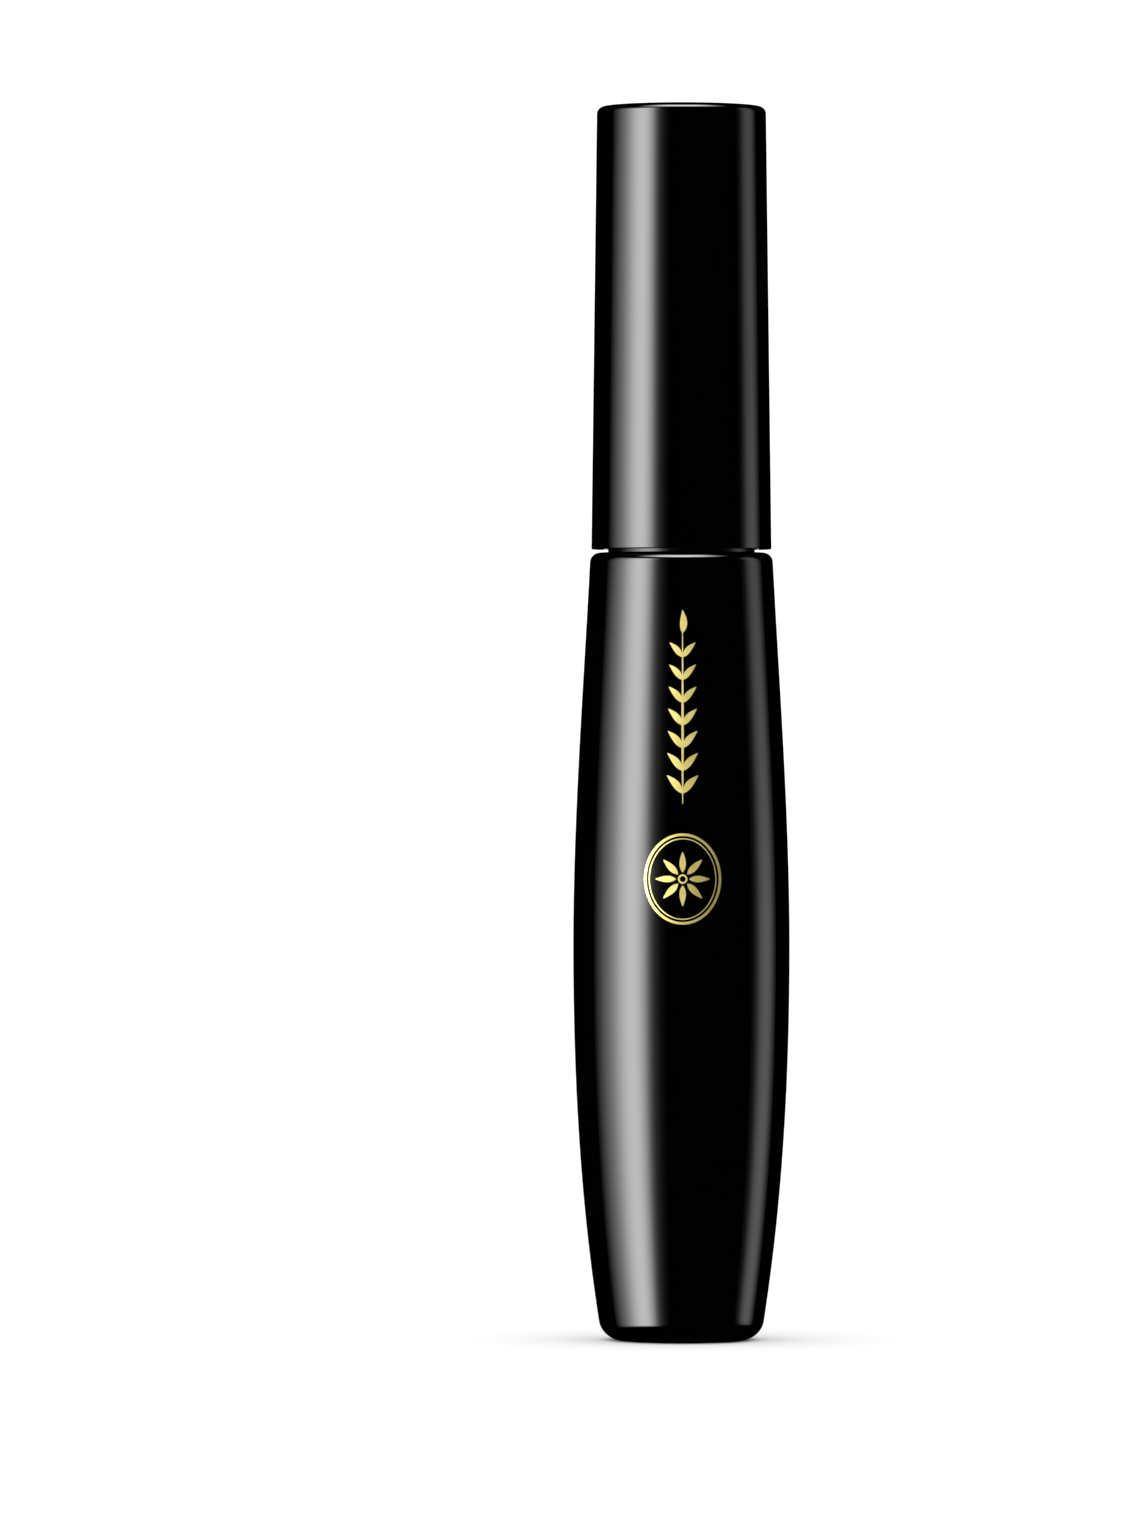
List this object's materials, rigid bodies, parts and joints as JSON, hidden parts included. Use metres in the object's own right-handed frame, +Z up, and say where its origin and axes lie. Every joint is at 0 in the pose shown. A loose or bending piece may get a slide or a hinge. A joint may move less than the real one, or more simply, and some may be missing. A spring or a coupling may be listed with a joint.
{
  "type": "mascara tube",
  "caption": "Closed mascara tube with a barrel-shaped glossy black bottle, a screw cap, and a wand with a bowed twisted-wire brush that lifts out.",
  "frame": {"origin": "centre of the base's resting plane, on the tube's axis", "axes": "+Z up along the tube's axis through the cap; -Y faces the viewer's side that carries the decoration; -X is the side the brush bows to"},
  "size_m": [0.0204, 0.0204, 0.116],
  "materials": {
    "black_gloss": "polished moulded ABS",
    "label_paper": "blank film label",
    "vial_plastic": "moulded polypropylene",
    "wiper_rubber": "soft satin",
    "paste": "wet waxy cream",
    "gasket_foam": "closed-cell foam",
    "liner_plastic": "satin polypropylene",
    "stem_plastic": "moulded acetal",
    "brush_wire": "black-coated steel wire",
    "bristle_nylon": "drawn nylon fibre"
  },
  "bodies": {
    "bottle": {"outer_bottle": "black_gloss", "shade_label": "label_paper", "inner_vial": "vial_plastic", "wiper": "wiper_rubber", "mascara_paste": "paste"},
    "seal": {"seal_gasket": "gasket_foam"},
    "applicator": {"cap_shell": "black_gloss", "cap_liner": "liner_plastic", "stem": "stem_plastic", "brush_wire": "brush_wire", "bristles": "bristle_nylon"}
  },
  "joints": [
    {"name": "applicator_lift", "type": "slide", "parent": "bottle", "child": "seal", "axis": [0, 0, 1], "range_m": [0, 0.09], "deforming": ["wiper", "bristles"]},
    {"name": "cap_turn", "type": "hinge", "parent": "seal", "child": "applicator", "pos_m": [0, 0, 0.08], "axis": [0, 0, 1], "range_deg": [0, 450]}
  ]
}
